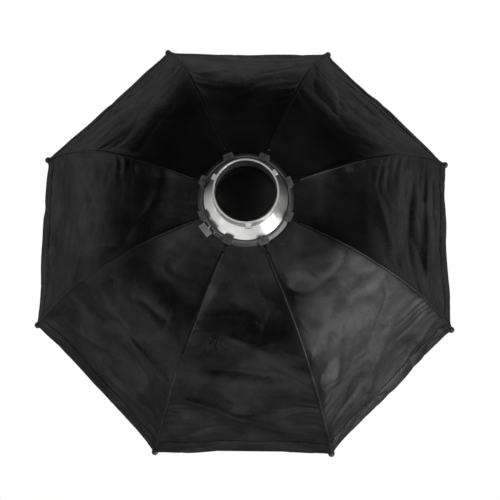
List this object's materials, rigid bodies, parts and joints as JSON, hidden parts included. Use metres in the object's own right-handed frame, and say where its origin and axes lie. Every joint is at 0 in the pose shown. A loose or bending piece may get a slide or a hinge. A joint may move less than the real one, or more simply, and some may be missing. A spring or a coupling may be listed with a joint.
{
  "type": "folding octagonal softbox",
  "caption": "Octagonal fabric softbox on hinged sprung ribs, with a turning bayonet speed ring and a cloth front diffuser.",
  "frame": {"origin": "centre of the front rim, on the outer face of the front diffuser, which the octabox rests on", "axes": "+Z along the optical axis from the front diffuser back to the mount; rib 1 stands 22.5 degrees from +X towards +Y, so two panels face +X and -X and two face +Y and -Y"},
  "size_m": [0.8418, 0.8418, 0.427],
  "materials": {
    "cast_metal": "satin silver, finely blasted",
    "cast_metal_grey": "satin grey",
    "bracket_metal": "satin grey",
    "dark_metal": "dark grey paint",
    "screw_steel": "bright steel",
    "spring_steel": "bright steel",
    "grey_plastic": "dark grey moulded plastic",
    "black_fabric": "black coated nylon with a low gloss, silver inside",
    "white_cloth": "thin white nylon",
    "black_webbing": "black hook-and-loop border"
  },
  "bodies": {
    "mount": {"mount_insert": "cast_metal", "retaining_ring": "dark_metal", "retaining_screws": "screw_steel"},
    "speed_ring": {"speed_ring": "cast_metal_grey", "bracket_screws": "screw_steel", "hinge_pins": "screw_steel", "neck_skirt": "black_fabric", "lock_spring": "spring_steel", "rib_bracket_1": "bracket_metal", "rib_bracket_2": "bracket_metal", "rib_bracket_3": "bracket_metal", "rib_bracket_4": "bracket_metal", "rib_bracket_5": "bracket_metal", "rib_bracket_6": "bracket_metal", "rib_bracket_7": "bracket_metal", "rib_bracket_8": "bracket_metal"},
    "lock": {"lock_button": "grey_plastic"},
    "rib_1": {"rib_socket_1": "dark_metal", "rib_rod_1": "spring_steel", "rib_tip_1": "grey_plastic", "panel_1": "black_fabric"},
    "rib_2": {"rib_socket_2": "dark_metal", "rib_rod_2": "spring_steel", "rib_tip_2": "grey_plastic", "panel_2": "black_fabric"},
    "rib_3": {"rib_socket_3": "dark_metal", "rib_rod_3": "spring_steel", "rib_tip_3": "grey_plastic", "panel_3": "black_fabric"},
    "rib_4": {"rib_socket_4": "dark_metal", "rib_rod_4": "spring_steel", "rib_tip_4": "grey_plastic", "panel_4": "black_fabric"},
    "rib_5": {"rib_socket_5": "dark_metal", "rib_rod_5": "spring_steel", "rib_tip_5": "grey_plastic", "panel_5": "black_fabric"},
    "rib_6": {"rib_socket_6": "dark_metal", "rib_rod_6": "spring_steel", "rib_tip_6": "grey_plastic", "panel_6": "black_fabric"},
    "rib_7": {"rib_socket_7": "dark_metal", "rib_rod_7": "spring_steel", "rib_tip_7": "grey_plastic", "panel_7": "black_fabric"},
    "rib_8": {"rib_socket_8": "dark_metal", "rib_rod_8": "spring_steel", "rib_tip_8": "grey_plastic", "panel_8": "black_fabric"},
    "diffuser": {"diffuser_cloth": "white_cloth", "diffuser_border": "black_webbing"}
  },
  "joints": [
    {"name": "ring_turn", "type": "hinge", "parent": "mount", "child": "speed_ring", "pos_m": [0, 0, 0.377], "axis": [0, 0, 1], "continuous": true},
    {"name": "lock_press", "type": "slide", "parent": "speed_ring", "child": "lock", "axis": [0.7771, 0.6293, 0], "range_m": [0, 0.003], "stiffness_N_per_m": 400, "springref_m": -0.002, "deforming": ["lock_spring"]},
    {"name": "rib_fold_1", "type": "hinge", "parent": "speed_ring", "child": "rib_1", "pos_m": [0.07761, 0.03214, 0.36], "axis": [-0.3827, 0.9239, 0], "range_deg": [0, 43], "deforming": ["panel_1"]},
    {"name": "rib_fold_2", "type": "hinge", "parent": "speed_ring", "child": "rib_2", "pos_m": [0.03214, 0.07761, 0.36], "axis": [-0.9239, 0.3827, 0], "range_deg": [0, 43], "deforming": ["panel_2"]},
    {"name": "rib_fold_3", "type": "hinge", "parent": "speed_ring", "child": "rib_3", "pos_m": [-0.03214, 0.07761, 0.36], "axis": [-0.9239, -0.3827, 0], "range_deg": [0, 43], "deforming": ["panel_3"]},
    {"name": "rib_fold_4", "type": "hinge", "parent": "speed_ring", "child": "rib_4", "pos_m": [-0.07761, 0.03214, 0.36], "axis": [-0.3827, -0.9239, 0], "range_deg": [0, 43], "deforming": ["panel_4"]},
    {"name": "rib_fold_5", "type": "hinge", "parent": "speed_ring", "child": "rib_5", "pos_m": [-0.07761, -0.03214, 0.36], "axis": [0.3827, -0.9239, 0], "range_deg": [0, 43], "deforming": ["panel_5"]},
    {"name": "rib_fold_6", "type": "hinge", "parent": "speed_ring", "child": "rib_6", "pos_m": [-0.03214, -0.07761, 0.36], "axis": [0.9239, -0.3827, 0], "range_deg": [0, 43], "deforming": ["panel_6"]},
    {"name": "rib_fold_7", "type": "hinge", "parent": "speed_ring", "child": "rib_7", "pos_m": [0.03214, -0.07761, 0.36], "axis": [0.9239, 0.3827, 0], "range_deg": [0, 43], "deforming": ["panel_7"]},
    {"name": "rib_fold_8", "type": "hinge", "parent": "speed_ring", "child": "rib_8", "pos_m": [0.07761, -0.03214, 0.36], "axis": [0.3827, 0.9239, 0], "range_deg": [0, 43], "deforming": ["panel_8"]},
    {"name": "diffuser_off", "type": "slide", "parent": "speed_ring", "child": "diffuser", "axis": [0, 0, -1], "range_m": [0, 0.32]}
  ],
  "couplings": [
    {"joint": "rib_fold_2", "follows": "rib_fold_1", "ratio": 1},
    {"joint": "rib_fold_3", "follows": "rib_fold_1", "ratio": 1},
    {"joint": "rib_fold_4", "follows": "rib_fold_1", "ratio": 1},
    {"joint": "rib_fold_5", "follows": "rib_fold_1", "ratio": 1},
    {"joint": "rib_fold_6", "follows": "rib_fold_1", "ratio": 1},
    {"joint": "rib_fold_7", "follows": "rib_fold_1", "ratio": 1},
    {"joint": "rib_fold_8", "follows": "rib_fold_1", "ratio": 1},
    {"joint": "diffuser_off", "follows": "rib_fold_1", "m_per_rad": 0.42}
  ]
}
